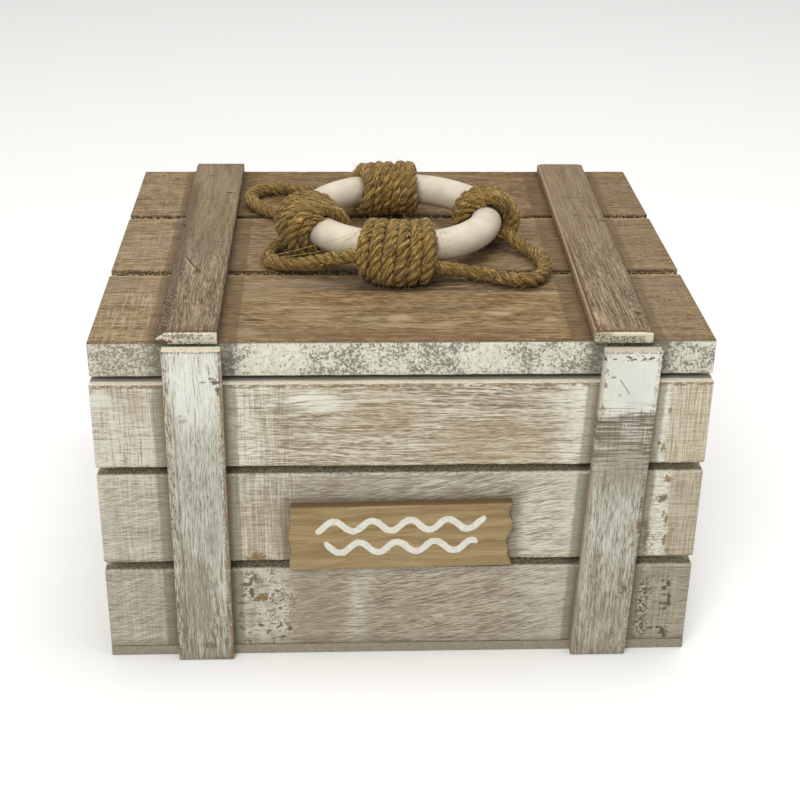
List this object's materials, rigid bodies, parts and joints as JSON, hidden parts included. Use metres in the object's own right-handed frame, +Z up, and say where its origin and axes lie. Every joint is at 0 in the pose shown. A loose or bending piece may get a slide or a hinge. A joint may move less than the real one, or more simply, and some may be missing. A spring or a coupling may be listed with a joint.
{
  "type": "wooden treasure chest box",
  "caption": "Hinged keepsake chest of weathered whitewashed planks with battens, a front name board and a roped life ring on its flat lid.",
  "frame": {"origin": "centre of the footprint, on the surface that the chest stands on", "axes": "+X to the right along the front, -Y out of the front, +Z up"},
  "size_m": [0.22, 0.1988, 0.1531],
  "materials": {
    "whitewashed_wood": "worn cream and grey whitewash over brown wood, matt",
    "lid_wood": "bare tan-brown boards with horizontal grain, matt",
    "grey_batten_wood": "weathered grey-brown, matt",
    "raw_wood": "plain unpainted softwood",
    "veneer": "thin tan veneer with fine grain, satin",
    "ring_paint": "satin off-white paint",
    "rope": "hairy three-strand jute rope",
    "hinge_metal": "dulled brass",
    "screw_steel": "plain steel"
  },
  "bodies": {
    "chest": {"bottom_board": "raw_wood", "front_plank_lower": "whitewashed_wood", "front_plank_middle": "whitewashed_wood", "front_plank_upper": "whitewashed_wood", "back_plank_lower": "whitewashed_wood", "back_plank_middle": "whitewashed_wood", "back_plank_upper": "whitewashed_wood", "left_side_plank_lower": "whitewashed_wood", "left_side_plank_middle": "whitewashed_wood", "left_side_plank_upper": "whitewashed_wood", "right_side_plank_lower": "whitewashed_wood", "right_side_plank_middle": "whitewashed_wood", "right_side_plank_upper": "whitewashed_wood", "corner_post_front_left": "raw_wood", "corner_post_front_right": "raw_wood", "corner_post_back_left": "raw_wood", "corner_post_back_right": "raw_wood", "post_screws": "screw_steel", "bottom_nails": "screw_steel", "front_batten_left": "whitewashed_wood", "front_batten_right": "whitewashed_wood", "back_batten_left": "whitewashed_wood", "back_batten_right": "whitewashed_wood", "sign_board": "veneer", "hinge_left_body_leaf": "hinge_metal", "hinge_right_body_leaf": "hinge_metal", "hinge_left_pin": "hinge_metal", "hinge_right_pin": "hinge_metal", "hinge_screws_body": "hinge_metal"},
    "lid": {"lid_plank_front": "lid_wood", "lid_plank_middle": "lid_wood", "lid_plank_rear": "lid_wood", "lid_batten_left": "grey_batten_wood", "lid_batten_right": "grey_batten_wood", "lid_cleat_left": "raw_wood", "lid_cleat_right": "raw_wood", "lid_cleat_screws": "screw_steel", "hinge_left_lid_leaf": "hinge_metal", "hinge_right_lid_leaf": "hinge_metal", "hinge_screws_lid": "hinge_metal", "life_ring": "ring_paint", "rope_wrap_front": "rope", "rope_wrap_right": "rope", "rope_wrap_back": "rope", "rope_wrap_left": "rope", "rope_loop_right": "rope", "rope_loop_left": "rope", "rope_loop_back": "rope"}
  },
  "joints": [
    {"name": "lid_hinge", "type": "hinge", "parent": "chest", "child": "lid", "pos_m": [0, 0.0967, 0.1162], "axis": [-1, 0, 0], "range_deg": [0, 105]}
  ]
}
